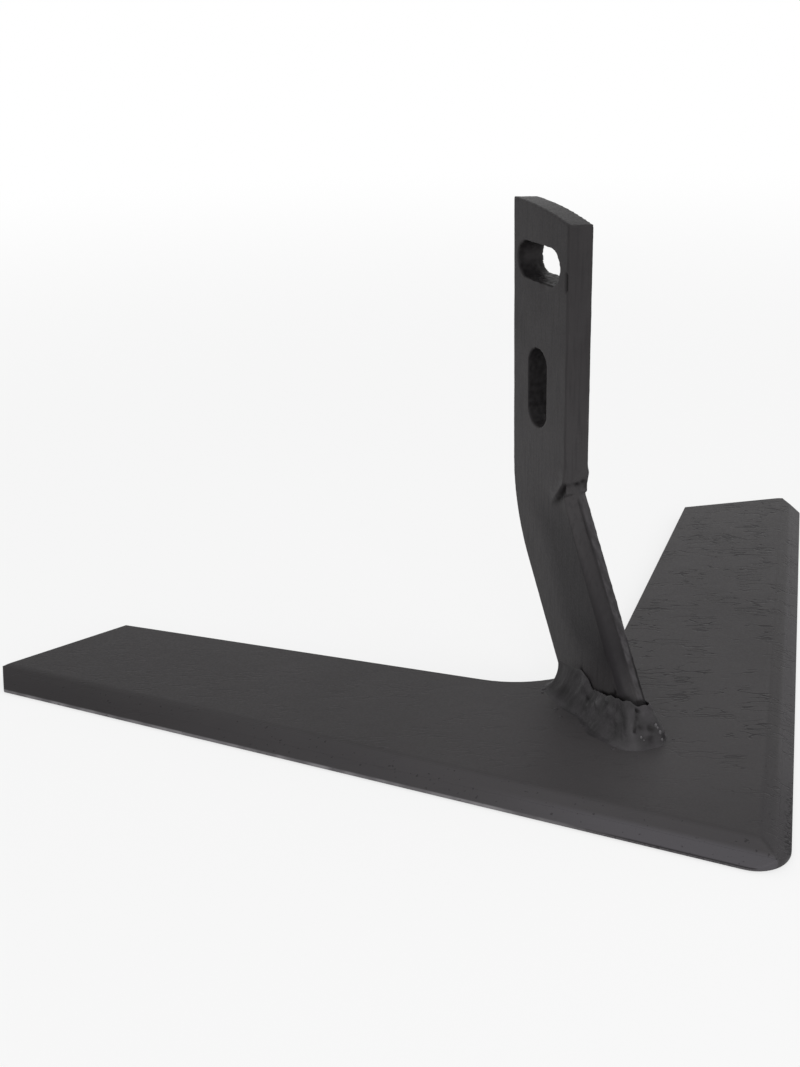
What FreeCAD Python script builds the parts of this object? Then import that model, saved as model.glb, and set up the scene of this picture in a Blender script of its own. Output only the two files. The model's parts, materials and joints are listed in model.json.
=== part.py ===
# Cultivator wing share: a flat V-shaped blade with a bent flat-bar shank welded upright on it.
# Frame: X across the share, -Y the way it travels, +Z up. The blade's underside is Z = 0, and the
# origin is under the middle of the whole part. Lengths are in millimetres, angles in degrees.
import FreeCAD, Part
import math
import os
import Sketcher
from FreeCAD import Placement, Rotation, Vector
from Sketcher import Constraint

os.makedirs("parts", exist_ok=True)
doc = FreeCAD.newDocument("wing_share")

# Sizes of the blade, the shank and the weld
SIZES = [
    ("plate_thickness", 6, "blade plate"),
    ("nose_half_angle", 40, "leading edge to the line of travel"),
    ("rear_half_angle", 45, "rear edge of a wing to the line of travel"),
    ("nose_apex_y", -135.2, "where the two leading edges would meet"),
    ("notch_apex_y", -16.7, "where the two rear edges would meet"),
    ("nose_radius", 12.5, "rounding of the nose, in plan"),
    ("notch_radius", 44, "rounding of the notch between the wings"),
    ("half_width", 200, "middle to the end of a leading edge"),
    ("clip_x", 198, "middle to the clipped corner of a wing's end"),
    ("clip_back", 12.1, "length of the clip, along the travel"),
    ("rear_edge_length", 205, "notch apex to a wing's rear corner"),
    ("edge_land", 1.2, "upright land under the bevel"),
    ("bevel_width", 10.5, "whole bevel, square to the edge"),
    ("bevel_low_width", 5.5, "steeper lower strip of the bevel"),
    ("bevel_low_rise", 3, "height gained over the lower strip"),
    ("shank_width", 40, "bar, along the travel"),
    ("shank_thickness", 10, "bar, across the share"),
    ("shank_mid_y", 17.7, "middle of the upright part of the bar"),
    ("shank_top_z", 187.3, "top of the bar at its rear edge"),
    ("top_slope", 6.7, "slope of the cut top, down to the front edge"),
    ("top_crown", 1.1, "rise of the arched top over a straight line between its two ends"),
    ("top_tilt", 6.8, "slope of the cut top, down to the right face"),
    ("bend_angle", 34.3, "edgewise bend of the bar"),
    ("bend_radius", 70, "outside of the bend"),
    ("bend_start_z", 88, "where the outside of the bend starts"),
    ("bend_inner_radius", 6, "inside of the bend"),
    ("lower_width", 43, "bar below the bend, to the crown of its front"),
    ("crown_rise", 1.7, "crown on the front of the bar below the bend"),
    ("slot_length", 30, "both bolt slots, end to end"),
    ("slot_width", 13.5, "both bolt slots, for M12 bolts"),
    ("slot_mid_y", 19, "middle of both slots, along the travel"),
    ("upper_slot_drop", 21.3, "level slot, below the bar's top at the rear"),
    ("slot_spacing", 46.3, "upright slot, below the level one"),
    ("weld_leg", 9, "weld on the blade, beside the bar"),
    ("weld_height", 10, "weld up the side of the bar"),
    ("weld_toe", 4, "weld in front of the bar's toe"),
    ("weld_heel", 4.9, "weld behind the bar's heel"),
    ("weld_toe_height", 15, "weld up the front of the bar"),
]
sheet = doc.addObject("Spreadsheet::Sheet", "sizes")
for row, (alias, value, note) in enumerate(SIZES, start=1):
    sheet.set("A%d" % row, alias)
    sheet.set("B%d" % row, str(value))
    sheet.set("C%d" % row, note)
    sheet.setAlias("B%d" % row, alias)
doc.recompute()


class Size:
    """A number together with the expression that binds it to the sheet."""

    def __init__(self, value, text):
        self.value = float(value)
        self.text = text

    def join(self, sign, other, value):
        return Size(value, "(%s %s %s)" % (self.text, sign, other.text))

    def __add__(self, other):
        other = plain(other)
        return self.join("+", other, self.value + other.value)

    def __sub__(self, other):
        other = plain(other)
        return self.join("-", other, self.value - other.value)

    def __mul__(self, other):
        other = plain(other)
        return self.join("*", other, self.value * other.value)

    def __truediv__(self, other):
        other = plain(other)
        return self.join("/", other, self.value / other.value)

    def __neg__(self):
        return Size(-self.value, "(0 - %s)" % self.text)


def plain(item):
    return item if isinstance(item, Size) else Size(item, repr(float(item)))


def of_angle(name, angle):
    """Sine, cosine or tangent of an angle given in degrees."""
    value = getattr(math, name)(math.radians(angle.value))
    return Size(value, "%s(%s * 1 deg)" % (name, angle.text))


S = {alias: Size(value, "sizes." + alias) for alias, value, note in SIZES}
ZERO = Size(0, "0")


# Sketch helpers
ORIGIN, AXIS_X, AXIS_Y = -1, -1, -2
START, END, CENTRE = 1, 2, 3


def new_body(label):
    body = doc.addObject("PartDesign::Body", label)
    body.Label = label
    return body


def sketch_on(body, name, role, shift=(0, 0, 0), turn_axis=None, turn=None):
    """A sketch on one of the body's own origin planes, moved and turned from it."""
    plane = [f for f in body.Origin.OriginFeatures if f.Role == role][0]
    sketch = body.newObject("Sketcher::SketchObject", name)
    sketch.AttachmentSupport = [(plane, "")]
    sketch.MapMode = "FlatFace"
    moves = [plain(item) for item in shift]
    turned = turn.value if turn else 0
    sketch.AttachmentOffset = Placement(
        Vector(*[move.value for move in moves]), Rotation(turn_axis or Vector(1, 0, 0), turned)
    )
    for letter, move in zip("xyz", moves):
        sketch.setExpression("AttachmentOffset.Base." + letter, move.text)
    if turn:
        sketch.setExpression("AttachmentOffset.Rotation.Angle", "%s * 1 deg" % turn.text)
    return sketch


def bind(sketch, kind, *where, to, angle=False):
    """A dimension whose value follows the sheet."""
    value = math.radians(to.value) if angle else to.value
    index = sketch.addConstraint(Constraint(kind, *where, value))
    text = "(%s) * 1 deg" % to.text if angle else to.text
    sketch.setExpression("Constraints[%d]" % index, text)


def put(sketch, piece, point, x, y):
    """Holds a point at x, y from the sketch's origin."""
    if x is ZERO:
        sketch.addConstraint(Constraint("PointOnObject", piece, point, AXIS_Y))
    else:
        bind(sketch, "DistanceX", ORIGIN, 1, piece, point, to=x)
    if y is ZERO:
        sketch.addConstraint(Constraint("PointOnObject", piece, point, AXIS_X))
    else:
        bind(sketch, "DistanceY", ORIGIN, 1, piece, point, to=y)


def polygon(sketch, corners):
    """A closed outline of straight lines through corners given as pairs of sizes."""
    corners = [(plain(x), plain(y)) for x, y in corners]
    count = len(corners)
    for k in range(count):
        a, b = corners[k], corners[(k + 1) % count]
        sketch.addGeometry(
            Part.LineSegment(Vector(a[0].value, a[1].value, 0), Vector(b[0].value, b[1].value, 0))
        )
    for k in range(count):
        sketch.addConstraint(Constraint("Coincident", k, END, (k + 1) % count, START))
    for k, (x, y) in enumerate(corners):
        put(sketch, k, START, x, y)


def line(sketch, x1, y1, x2, y2):
    return sketch.addGeometry(Part.LineSegment(Vector(x1, y1, 0), Vector(x2, y2, 0)))


def arc(sketch, x, y, radius, start, end):
    circle = Part.Circle(Vector(x, y, 0), Vector(0, 0, 1), radius)
    return sketch.addGeometry(Part.ArcOfCircle(circle, math.radians(start), math.radians(end)))


def cut_through(body, name, sketch, length):
    """A pocket both ways from its sketch. It has to take some metal away."""
    doc.recompute()
    before = body.Tip.Shape.Volume
    merge_faces = body.Tip.Refine
    pocket = body.newObject("PartDesign::Pocket", name)
    pocket.Profile = sketch
    pocket.SideType = "Symmetric"
    pocket.Refine = merge_faces
    pocket.setExpression("Length", length.text)
    doc.recompute()
    if not before - pocket.Shape.Volume > 1:
        raise RuntimeError(name + " cuts nothing")
    return pocket


def mirror(body, name, originals):
    plane = [f for f in body.Origin.OriginFeatures if f.Role == "YZ_Plane"][0]
    feature = body.newObject("PartDesign::Mirrored", name)
    feature.Originals = originals
    feature.MirrorPlane = (plane, [""])
    body.Tip = feature
    doc.recompute()
    return feature


# Blade: the right half of the V in plan, made solid and mirrored
thickness = S["plate_thickness"]
blade = new_body("blade")
plan = sketch_on(blade, "blade_plan", "XY_Plane")
nose_sin = of_angle("sin", S["nose_half_angle"])
nose_tan = of_angle("tan", S["nose_half_angle"])
rear_sin = of_angle("sin", S["rear_half_angle"])
rear_cos = of_angle("cos", S["rear_half_angle"])

nose_y = (S["nose_apex_y"] + S["nose_radius"] / nose_sin).value
notch_y = (S["notch_apex_y"] + S["notch_radius"] / rear_sin).value
edge_end_y = (S["nose_apex_y"] + S["half_width"] / nose_tan).value
corner_x = (S["rear_edge_length"] * rear_sin).value
corner_y = (S["notch_apex_y"] + S["rear_edge_length"] * rear_cos).value
nose_r = S["nose_radius"].value
notch_r = S["notch_radius"].value
nose_turn = math.radians(S["nose_half_angle"].value)
rear_turn = math.radians(S["rear_half_angle"].value)

nose = arc(plan, 0, nose_y, nose_r, -90, -S["nose_half_angle"].value)
leading = line(
    plan,
    nose_r * math.cos(nose_turn),
    nose_y - nose_r * math.sin(nose_turn),
    S["half_width"].value,
    edge_end_y,
)
clip = line(
    plan, S["half_width"].value, edge_end_y, S["clip_x"].value, edge_end_y + S["clip_back"].value
)
tip = line(plan, S["clip_x"].value, edge_end_y + S["clip_back"].value, corner_x, corner_y)
rear = line(
    plan,
    notch_r * math.cos(rear_turn),
    notch_y - notch_r * math.sin(rear_turn),
    corner_x,
    corner_y,
)
notch = arc(plan, 0, notch_y, notch_r, -90, -S["rear_half_angle"].value)
middle = line(plan, 0, notch_y - notch_r, 0, nose_y - nose_r)
nose_apex = plan.addGeometry(Part.Point(Vector(0, S["nose_apex_y"].value, 0)), True)
notch_apex = plan.addGeometry(Part.Point(Vector(0, S["notch_apex_y"].value, 0)), True)

for apex, edge, name in ((nose_apex, leading, "nose"), (notch_apex, rear, "notch")):
    put(plan, apex, START, ZERO, S[name + "_apex_y"])
    plan.addConstraint(Constraint("PointOnObject", apex, START, edge))
for curve, edge, name in ((nose, leading, "nose"), (notch, rear, "notch")):
    plan.addConstraint(Constraint("PointOnObject", curve, CENTRE, AXIS_Y))
    plan.addConstraint(Constraint("PointOnObject", curve, START, AXIS_Y))
    plan.addConstraint(Constraint("Tangent", curve, END, edge, START))
    bind(plan, "Radius", curve, to=S[name + "_radius"])
bind(plan, "Angle", leading, to=-(S["nose_half_angle"] - 90), angle=True)
bind(plan, "Angle", rear, to=-(S["rear_half_angle"] - 90), angle=True)
bind(plan, "DistanceX", ORIGIN, 1, leading, END, to=S["half_width"])
plan.addConstraint(Constraint("Coincident", leading, END, clip, START))
bind(plan, "DistanceX", ORIGIN, 1, clip, END, to=S["clip_x"])
bind(plan, "DistanceY", clip, START, clip, END, to=S["clip_back"])
plan.addConstraint(Constraint("Coincident", clip, END, tip, START))
plan.addConstraint(Constraint("Coincident", tip, END, rear, END))
bind(plan, "Distance", notch_apex, START, rear, END, to=S["rear_edge_length"])
plan.addConstraint(Constraint("Coincident", notch, START, middle, START))
plan.addConstraint(Constraint("Coincident", middle, END, nose, START))

plate = blade.newObject("PartDesign::Pad", "plate")
plate.Profile = plan
plate.setExpression("Length", thickness.text)
doc.recompute()
mirror(blade, "whole_plate", [plate])

# Bevel: two strips along each leading edge, over an upright land
bevel_cut = sketch_on(
    blade,
    "bevel_section",
    "XZ_Plane",
    shift=(0, 0, -S["nose_apex_y"]),
    turn_axis=Vector(0, -1, 0),
    turn=S["nose_half_angle"],
)
clear = thickness * 2
polygon(
    bevel_cut,
    [
        (-S["bevel_width"], thickness),
        (-S["bevel_low_width"], S["edge_land"] + S["bevel_low_rise"]),
        (ZERO, S["edge_land"]),
        (clear, S["edge_land"]),
        (clear, clear),
        (-S["bevel_width"], clear),
    ],
)
bevel = cut_through(blade, "bevel", bevel_cut, S["half_width"] * 4)
mirror(blade, "both_bevels", [bevel])

# Shank: side view of the bar in two stretches, upright above the bend and leaning forward below it.
# The upright stretch keeps its own flat faces, because a tool holder clamps on those.
shank = new_body("shank")
bend_sin = of_angle("sin", S["bend_angle"])
bend_cos = of_angle("cos", S["bend_angle"])
bend_tan = of_angle("tan", S["bend_angle"])
front_y = S["shank_mid_y"] - S["shank_width"] / 2
back_y = S["shank_mid_y"] + S["shank_width"] / 2
bend_end_y = back_y - S["bend_radius"] + S["bend_radius"] * bend_cos
bend_end_z = S["bend_start_z"] - S["bend_radius"] * bend_sin
heel_y = bend_end_y - (bend_end_z - thickness) * bend_tan
toe_y = heel_y - S["lower_width"] / bend_cos
inner_z = thickness + (front_y - toe_y) / bend_tan
inner_step = S["bend_inner_radius"] * of_angle("tan", S["bend_angle"] / 2)
inner_low_y = front_y - inner_step * bend_sin
inner_low_z = inner_z - inner_step * bend_cos
inner_high_z = inner_z + inner_step

upright_side = sketch_on(shank, "upright_side", "YZ_Plane")
polygon(
    upright_side,
    [
        (back_y, S["shank_top_z"]),
        (front_y, S["shank_top_z"]),
        (front_y, S["bend_start_z"]),
        (back_y, S["bend_start_z"]),
    ],
)

side = sketch_on(shank, "leaning_side", "YZ_Plane")
seam = line(side, back_y.value, S["bend_start_z"].value, front_y.value, S["bend_start_z"].value)
front = line(side, front_y.value, S["bend_start_z"].value, front_y.value, inner_high_z.value)
inner = arc(
    side,
    front_y.value - S["bend_inner_radius"].value,
    inner_high_z.value,
    S["bend_inner_radius"].value,
    -S["bend_angle"].value,
    0,
)
lower_front = line(side, toe_y.value, thickness.value, inner_low_y.value, inner_low_z.value)
foot = line(side, toe_y.value, thickness.value, heel_y.value, thickness.value)
lower_back = line(side, heel_y.value, thickness.value, bend_end_y.value, bend_end_z.value)
outer = arc(
    side,
    back_y.value - S["bend_radius"].value,
    S["bend_start_z"].value,
    S["bend_radius"].value,
    -S["bend_angle"].value,
    0,
)
put(side, seam, END, front_y, S["bend_start_z"])
side.addConstraint(Constraint("Horizontal", seam))
side.addConstraint(Constraint("Coincident", seam, END, front, START))
side.addConstraint(Constraint("Vertical", front))
side.addConstraint(Constraint("Tangent", front, END, inner, END))
bind(side, "Radius", inner, to=S["bend_inner_radius"])
side.addConstraint(Constraint("Tangent", inner, START, lower_front, END))
put(side, lower_front, START, toe_y, thickness)
bind(side, "Angle", lower_front, to=-(S["bend_angle"] - 90), angle=True)
side.addConstraint(Constraint("Coincident", lower_front, START, foot, START))
put(side, foot, END, heel_y, thickness)
side.addConstraint(Constraint("Coincident", foot, END, lower_back, START))
side.addConstraint(Constraint("Parallel", lower_back, lower_front))
side.addConstraint(Constraint("Tangent", lower_back, END, outer, START))
side.addConstraint(Constraint("Coincident", outer, END, seam, START))
side.addConstraint(Constraint("PointOnObject", outer, CENTRE, seam))
bind(side, "Radius", outer, to=S["bend_radius"])

for name, profile in (("upright_bar", upright_side), ("leaning_bar", side)):
    doc.recompute()
    bar = shank.newObject("PartDesign::Pad", name)
    bar.Profile = profile
    bar.SideType = "Symmetric"
    bar.Refine = False
    bar.setExpression("Length", S["shank_thickness"].text)
doc.recompute()
through = S["shank_thickness"] * 3


# Bolt slots: a level one near the top and an upright one below it
def slot(name, turn, first_y, first_z, last_y, last_z):
    """A round-ended slot between two end centres. turn is 0 for a level slot, 90 for an upright one."""
    outline = sketch_on(shank, name + "_outline", "YZ_Plane")
    radius = S["slot_width"] / 2
    r = radius.value
    ahead = math.radians(turn)
    dy, dz = math.sin(ahead) * r, -math.cos(ahead) * r
    y1, z1, y2, z2 = first_y.value, first_z.value, last_y.value, last_z.value
    first = arc(outline, y1, z1, r, turn + 90, turn + 270)
    last = arc(outline, y2, z2, r, turn - 90, turn + 90)
    near = line(outline, y1 + dy, z1 + dz, y2 + dy, z2 + dz)
    far = line(outline, y2 - dy, z2 - dz, y1 - dy, z1 - dz)
    for one, other in ((first, near), (near, last), (last, far), (far, first)):
        outline.addConstraint(Constraint("Tangent", one, END, other, START))
    outline.addConstraint(Constraint("Equal", first, last))
    bind(outline, "Radius", first, to=radius)
    put(outline, first, CENTRE, first_y, first_z)
    put(outline, last, CENTRE, last_y, last_z)
    return cut_through(shank, name, outline, through)


reach = (S["slot_length"] - S["slot_width"]) / 2
slot_y = S["slot_mid_y"]
upper_z = S["shank_top_z"] - S["upper_slot_drop"]
lower_z = upper_z - S["slot_spacing"]
slot("upper_slot", 0, slot_y - reach, upper_z, slot_y + reach, upper_z)
slot("lower_slot", 90, slot_y, lower_z - reach, slot_y, lower_z + reach)

# Crown on the front of the bar below the bend, cut square to the leaning part
half_bar = S["shank_thickness"] / 2
crown = S["crown_rise"]
crown_cut = sketch_on(
    shank,
    "crown_section",
    "XY_Plane",
    shift=(0, toe_y, thickness),
    turn_axis=Vector(-1, 0, 0),
    turn=S["bend_angle"],
)
polygon(
    crown_cut,
    [
        (-half_bar * 1.2, -crown * 2),
        (half_bar * 1.2, -crown * 2),
        (half_bar * 1.2, crown * 1.2),
        (ZERO, ZERO),
        (-half_bar * 1.2, crown * 1.2),
    ],
)
lean_length = (front_y - toe_y) / bend_sin
cut_through(shank, "crown", crown_cut, lean_length * 2)

# Top end: a shallow arch that slopes down to the front edge, tilted down a little to the right face
top_drop = S["shank_width"] * of_angle("tan", S["top_slope"])
rise = S["top_crown"]
chord_square = S["shank_width"] * S["shank_width"] + top_drop * top_drop
top_radius = chord_square / (rise * 8) + rise / 2
top_cut = sketch_on(
    shank,
    "top_outline",
    "YZ_Plane",
    shift=(0, S["shank_top_z"], -half_bar),
    turn_axis=Vector(1, 0, 0),
    turn=S["top_tilt"],
)
width = S["shank_width"].value
drop = top_drop.value
radius = top_radius.value
share = (radius - rise.value) / math.hypot(width, drop)
centre_y = (front_y.value + back_y.value) / 2 + drop * share
centre_z = -drop / 2 - width * share
arch = arc(
    top_cut,
    centre_y,
    centre_z,
    radius,
    math.degrees(math.atan2(-centre_z, back_y.value - centre_y)),
    math.degrees(math.atan2(-drop - centre_z, front_y.value - centre_y)),
)
put(top_cut, arch, START, back_y, ZERO)
put(top_cut, arch, END, front_y, -top_drop)
bind(top_cut, "Radius", arch, to=top_radius)
beyond = S["shank_width"] * 0.2
around = [
    (back_y, ZERO),
    (back_y + beyond, ZERO),
    (back_y + beyond, beyond),
    (front_y - beyond, beyond),
    (front_y - beyond, -top_drop),
    (front_y, -top_drop),
]
sides = []
for (y1, z1), (y2, z2) in zip(around, around[1:]):
    sides.append(line(top_cut, y1.value, z1.value, y2.value, z2.value))
for one, other in zip(sides, sides[1:]):
    top_cut.addConstraint(Constraint("Coincident", one, END, other, START))
top_cut.addConstraint(Constraint("Coincident", arch, START, sides[0], START))
top_cut.addConstraint(Constraint("Coincident", arch, END, sides[-1], END))
for side_line, (y, z) in zip(sides, around[1:-1]):
    put(top_cut, side_line, END, y, z)
cut_through(shank, "arched_top", top_cut, through)

# Weld: one lump around the bar's foot, lofted up through four outlines, less the bar itself
lump = new_body("weld_lump")
leg = S["weld_leg"]
height = S["weld_height"]
toe = S["weld_toe"]
heel = S["weld_heel"]
half_height = height / 2
toe_height = S["weld_toe_height"]
LEVELS = [
    ("weld_foot", ZERO, half_bar + leg, toe_y - toe, heel_y + heel),
    (
        "weld_middle",
        half_height,
        half_bar + leg * 0.62,
        toe_y + half_height * bend_tan - toe * 0.8,
        heel_y + half_height * bend_tan + heel * 0.3,
    ),
    (
        "weld_shoulder",
        height,
        half_bar + leg * 0.05,
        toe_y + height * bend_tan - toe * 0.6,
        heel_y + heel,
    ),
    (
        "weld_crest",
        toe_height,
        half_bar * 0.7,
        toe_y + toe_height * bend_tan - toe * 0.3,
        heel_y + heel,
    ),
]
outlines = []
for name, rise, half_x, near_y, far_y in LEVELS:
    outline = sketch_on(lump, name, "XY_Plane", shift=(0, 0, thickness + rise))
    polygon(
        outline,
        [
            (half_x, near_y + half_x * 1.1),
            (half_x, far_y - half_x * 0.5),
            (half_x * 0.5, far_y),
            (-half_x * 0.5, far_y),
            (-half_x, far_y - half_x * 0.5),
            (-half_x, near_y + half_x * 1.1),
            (-half_x * 0.3, near_y),
            (half_x * 0.3, near_y),
        ],
    )
    outlines.append(outline)
doc.recompute()
loft = lump.newObject("PartDesign::AdditiveLoft", "weld_loft")
loft.Profile = outlines[0]
loft.Sections = outlines[1:]
loft.Ruled = True
doc.recompute()

weld = doc.addObject("Part::Cut", "weld")
weld.Label = "weld"
weld.Base = lump
weld.Tool = shank
doc.recompute()

# Checks, then one file for each piece
for item in doc.Objects:
    if "Invalid" in item.State or "Error" in item.State:
        raise RuntimeError("%s failed: %s" % (item.Name, item.State))
for piece in (blade, shank, weld):
    shape = piece.Shape
    if shape.isNull() or not shape.isValid():
        raise RuntimeError(piece.Label + " is not a valid shape")
    if len(shape.Solids) != 1:
        raise RuntimeError("%s is %d solids" % (piece.Label, len(shape.Solids)))
    box = shape.BoundBox
    print(
        "%-8s %8.0f mm3  x %.1f %.1f  y %.1f %.1f  z %.1f %.1f"
        % (piece.Label, shape.Volume, box.XMin, box.XMax, box.YMin, box.YMax, box.ZMin, box.ZMax)
    )
    shape.exportStep("parts/%s.step" % piece.Label)
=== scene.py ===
# %% [markdown]
# # Cultivator wing share
# A wing share is the flat V-shaped blade that a hoeing machine pulls through the soil just below
# the surface. A bent, slotted bar stands on the middle of the blade and holds it, joined by one
# weld run all round. All of it is sprayed with thin satin black paint, through which the rolled
# and welded steel still shows. This lesson dresses the exact CAD model: rounded edges for the
# blade, a finely meshed skin for the bar, a modelled weld, and three paints. Lengths are written
# in millimetres and turned to metres where Blender needs them.

import json
import math

import bmesh
import bpy
from mathutils import Matrix, Vector, noise
from mathutils.bvhtree import BVHTree
from mathutils.kdtree import KDTree

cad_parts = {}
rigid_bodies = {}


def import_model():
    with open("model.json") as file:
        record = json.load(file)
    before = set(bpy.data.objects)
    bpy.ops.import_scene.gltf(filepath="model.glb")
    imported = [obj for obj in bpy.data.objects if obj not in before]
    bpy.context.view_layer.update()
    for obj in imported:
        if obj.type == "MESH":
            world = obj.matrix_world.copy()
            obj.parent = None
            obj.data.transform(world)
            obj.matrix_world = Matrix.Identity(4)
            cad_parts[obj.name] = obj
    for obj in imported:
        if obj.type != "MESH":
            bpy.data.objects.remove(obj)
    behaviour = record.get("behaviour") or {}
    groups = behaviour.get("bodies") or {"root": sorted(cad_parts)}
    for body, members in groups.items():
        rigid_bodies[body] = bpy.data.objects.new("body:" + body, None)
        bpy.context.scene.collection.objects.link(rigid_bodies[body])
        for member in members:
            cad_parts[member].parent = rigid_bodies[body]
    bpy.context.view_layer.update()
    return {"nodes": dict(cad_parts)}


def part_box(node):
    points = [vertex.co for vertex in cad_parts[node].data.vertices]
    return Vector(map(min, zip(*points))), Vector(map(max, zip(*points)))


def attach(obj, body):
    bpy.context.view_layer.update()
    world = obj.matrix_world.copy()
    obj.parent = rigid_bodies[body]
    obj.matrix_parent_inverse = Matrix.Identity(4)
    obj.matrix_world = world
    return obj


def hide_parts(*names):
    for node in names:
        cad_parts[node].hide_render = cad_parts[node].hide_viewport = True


for leftover in list(bpy.data.objects):
    bpy.data.objects.remove(leftover)
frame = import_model()
nodes = frame["nodes"]
MM = 0.001
for name in sorted(nodes):
    low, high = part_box(name)
    print(name, "from", [round(v / MM, 1) for v in low], "to", [round(v / MM, 1) for v in high])

# %% [markdown]
# ## Small helpers for shaping by numbers
# The marks that forging, bending and welding leave are easiest to write as sums of smooth bumps
# and steps. `ease` goes from 0 to 1 without a kink, `hill` is a round bump, `rough` is Blender's
# own noise at a size given in millimetres. Using one set of functions keeps every mark repeatable.

# %% Helpers for shaping
def ease(value, start, end):
    """0 before start, 1 after end, and a smooth ramp between them."""
    part = min(1.0, max(0.0, (value - start) / (end - start)))
    return part * part * (3 - 2 * part)


def hill(distance, radius):
    """1 in the middle, falling smoothly to about nothing at twice the radius."""
    return math.exp(-((distance / radius) ** 2))


def rough(point, size, seed=0.0):
    """Noise from -1 to 1 whose lumps are about size millimetres across."""
    return noise.noise(Vector(point) / size + Vector((seed, 2 * seed, -seed)))


def between(value, points):
    """Straight-line reading of a short list of (position, value) pairs, in rising order."""
    if value <= points[0][0]:
        return points[0][1]
    for (a, va), (b, vb) in zip(points, points[1:]):
        if value <= b:
            return va + (vb - va) * (value - a) / (b - a)
    return points[-1][1]


print("noise of a known point:", round(rough((1.0, 2.0, 3.0), 5.0), 4))

# %% [markdown]
# ## The skin of the bar
# The bar was sheared from flat bar, punched for two bolt slots, cropped at the top and bent
# edgewise at the bottom, so its corners are a little round and its faces are not quite flat.
# Modifiers on the CAD mesh could round the corners, but the fold inside the bend is a shape of its
# own. So the skin is a copy of the exact mesh: its sharp edges are bevelled first, then Blender's
# voxel remesher turns it into small even squares that can be pushed in and out.

# %% A copy of the bar with rounded corners
CORNER = 0.7  # rounding of the long rolled corners
WORN = 1.0  # the same on the near front corner, which is rounder
CROWNED = 2.2  # softer near corner of the crowned front, below the bend
FAR = 0.5  # the far corner there, which keeps its shearing burr
CROPPED = 0.45  # rounding left round the cropped top
PUNCHED = 0.25  # rounding left round the punched slots
HALF_THICK = 5.0  # half the bar's thickness
SLOT_Y, SLOT_REACH = 19.0, 15.1  # middle of both slots, and a little over half their length
SLOTS_FROM, TOP_FROM = 90, 178  # heights from which up the slots, and the cropped top, lie


def sharp(edge, degrees):
    """True where two faces meet at more than an angle."""
    return len(edge.link_faces) == 2 and edge.calc_face_angle(0) > math.radians(degrees)


def long_corner(edge):
    """True for the corners that run along the bar."""
    run = edge.verts[1].co - edge.verts[0].co
    outside = all(abs(abs(v.co.x) - HALF_THICK) < 0.01 for v in edge.verts)
    slots = all(abs(v.co.y - SLOT_Y) < SLOT_REACH and v.co.z > SLOTS_FROM for v in edge.verts)
    return outside and not slots and abs(run.z) > 0.5 * run.length


def far_crown(edge):
    """True for both front corners below the bend."""
    return long_corner(edge) and min(v.co.y for v in edge.verts) < -10


def beside_crown(edge):
    """True for the near one of the two front corners below the bend."""
    return far_crown(edge) and edge.verts[0].co.x < 0


def near_front(edge):
    """True for the front corner of the left face, above the crown."""
    return long_corner(edge) and max(v.co.y for v in edge.verts) < 0 and edge.verts[0].co.x < 0


def cropped(edge):
    """True for the edges round the cropped top."""
    return min(v.co.z for v in edge.verts) > TOP_FROM


def punched(edge):
    """True for the edges round the slots, once the others are rounded."""
    return min(v.co.z for v in edge.verts) > SLOTS_FROM


def exact_copy(node):
    """A node's mesh in millimetres, with the triangles of each flat face joined."""
    shape = bmesh.new()
    shape.from_mesh(node.data)
    bmesh.ops.scale(shape, vec=(1 / MM,) * 3, verts=shape.verts)
    bmesh.ops.remove_doubles(shape, verts=shape.verts, dist=1e-3)
    bmesh.ops.dissolve_limit(shape, angle_limit=0.01, verts=shape.verts, edges=shape.edges)
    return shape


def round_off(shape, kind, size, steps, degrees=25):
    """Rounds the sharp edges of one kind and says how many there were."""
    picked = [e for e in shape.edges if sharp(e, degrees) and kind(e)]
    bmesh.ops.bevel(shape, geom=picked, offset=size, segments=steps, profile=0.5, affect="EDGES")
    print(kind.__name__, len(picked), "edges rounded by", size)


shaped = exact_copy(nodes["shank"])
round_off(shaped, beside_crown, CROWNED, 5)
round_off(shaped, far_crown, FAR, 2)
round_off(shaped, near_front, WORN, 3)
round_off(shaped, long_corner, CORNER, 3)
round_off(shaped, cropped, CROPPED, 2, 50)
round_off(shaped, punched, PUNCHED, 1, 50)
bmesh.ops.triangulate(shaped, faces=shaped.faces)
print("faces", len(shaped.faces))

# %% Even squares from the remesher
VOXEL = 0.5  # side of a square, fine enough for the nick and the fold

bar_mesh = bpy.data.meshes.new("bar_skin")
shaped.to_mesh(bar_mesh)
shaped.free()
bar = bpy.data.objects.new("bar_skin", bar_mesh)
bpy.context.scene.collection.objects.link(bar)
squares = bar.modifiers.new("even squares", "REMESH")
squares.mode = "VOXEL"
squares.voxel_size = VOXEL
evaluated = bar.evaluated_get(bpy.context.evaluated_depsgraph_get())
bar_skin = bpy.data.meshes.new_from_object(evaluated)
bar.modifiers.clear()
bar.data = bar_skin
print("bar skin:", len(bar_skin.vertices), "points,", len(bar_skin.polygons), "squares")

# %% [markdown]
# ## Marks of the bend, the shear and the press
# When a flat bar is bent edgewise, the metal inside the bend is squeezed: it swells out beside the
# corner and ends in a short fold that runs down and back across the face. Such marks could be
# modelled one by one, but on an even mesh it is simpler to write each as a depth in millimetres
# along the surface normal, with a darkness from 0 to 1 that is painted shade in folds, pits and
# seams, or the colour of a burnt spot. Then all of them just add up.

# %% The fold inside the bend
FOLD_TOP = (-2.3, 88.6)  # where the fold leaves the front corner, along and up
FOLD_END = (8.4, 78.2)  # where it dies out on the side face
FOLD_DEPTH = 2.0


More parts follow.
